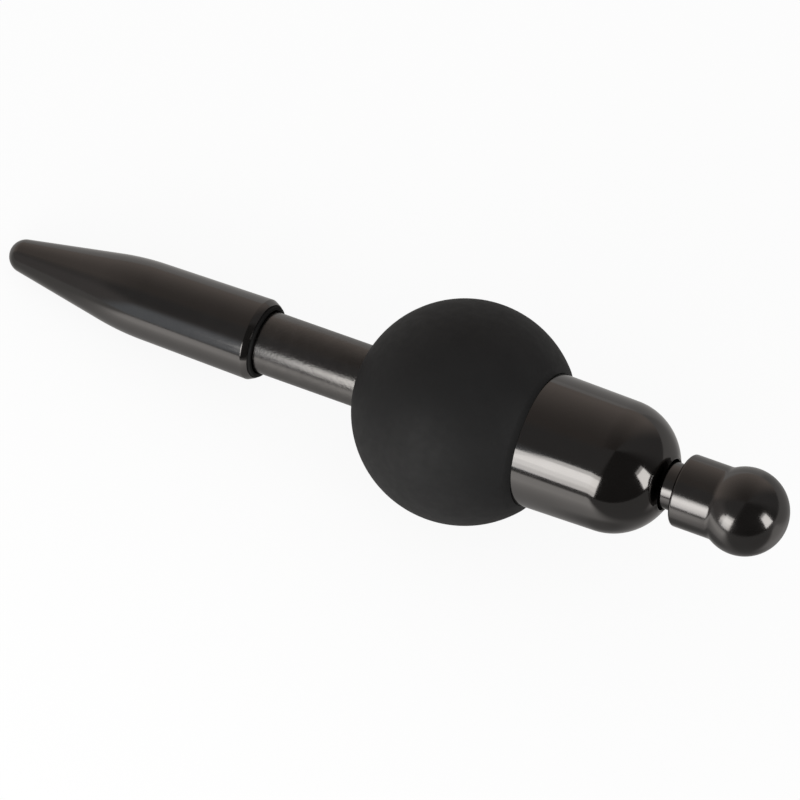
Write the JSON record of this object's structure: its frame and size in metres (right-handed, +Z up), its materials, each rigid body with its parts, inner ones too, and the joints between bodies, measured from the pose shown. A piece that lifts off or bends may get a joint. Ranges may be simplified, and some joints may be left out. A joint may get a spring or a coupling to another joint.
{
  "type": "vibrating plug with stopper ball",
  "caption": "Slim battery-powered vibrating plug: tapered dark metal tip on a tube stem, sliding soft ball stop, domed battery housing and round push knob.",
  "frame": {"origin": "on the floor under the middle of the bounding box, with the part lying on its ball and its nose", "axes": "+X towards the push knob, +Z up; the part's own axis lies in the XZ plane and rises 10.846 degrees towards the knob"},
  "size_m": [0.1142, 0.03, 0.03],
  "materials": {
    "tip_metal": "polished",
    "stem_metal": "gloss",
    "housing_finish": "polished",
    "knob_finish": "polished",
    "silicone": "matte",
    "seal_rubber": "matte",
    "steel": "satin",
    "cell_metal": "satin",
    "brass": "satin",
    "copper": "satin",
    "white_plastic": "satin",
    "black_plastic": "satin",
    "board": "satin",
    "red_plastic": "satin"
  },
  "bodies": {
    "housing": {"housing": "housing_finish", "button_gland": "seal_rubber", "battery_sleeve": "white_plastic", "button_cell_1": "cell_metal", "button_cell_2": "cell_metal", "button_cell_3": "cell_metal", "positive_contact": "brass", "negative_strip": "brass", "motor_holder": "black_plastic", "motor_can": "steel", "motor_end_cap": "white_plastic", "motor_magnet": "steel", "circuit_board": "board", "driver_chip": "black_plastic", "switch_body": "black_plastic", "board_screw_1": "steel", "board_screw_2": "steel", "red_wire": "red_plastic", "black_wire": "black_plastic"},
    "seal": {"plug_seal": "seal_rubber"},
    "stem": {"stem_tube": "stem_metal", "tip_sleeve": "tip_metal", "tip_ring": "seal_rubber", "battery_plug": "stem_metal", "contact_spring": "steel"},
    "ball": {"stopper_ball": "silicone"},
    "button": {"push_knob": "knob_finish", "retaining_clip": "steel", "switch_plunger": "white_plastic"},
    "rotor": {"rotor_shaft": "steel", "rotor_coil": "copper", "eccentric_weight": "steel"}
  },
  "joints": [
    {"name": "stem_travel", "type": "slide", "parent": "housing", "child": "seal", "axis": [-0.9821, 0, -0.1882], "range_m": [0, 0.004]},
    {"name": "stem_turn", "type": "hinge", "parent": "seal", "child": "stem", "pos_m": [0.01124, 0, 0.015], "axis": [-0.9821, 0, -0.1882], "range_deg": [0, 1440]},
    {"name": "ball_slide", "type": "slide", "parent": "stem", "child": "ball", "axis": [-0.9821, 0, -0.1882], "range_m": [0, 0.0151]},
    {"name": "button_push", "type": "slide", "parent": "housing", "child": "button", "axis": [-0.9821, 0, -0.1882], "range_m": [0, 0.001], "stiffness_N_per_m": 600, "springref_m": -0.001},
    {"name": "rotor_spin", "type": "hinge", "parent": "housing", "child": "rotor", "pos_m": [0.02708, 0, 0.01803], "axis": [0, 1, 0], "continuous": true}
  ],
  "couplings": [
    {"joint": "stem_travel", "follows": "stem_turn", "m_per_rad": 0.00015915}
  ]
}
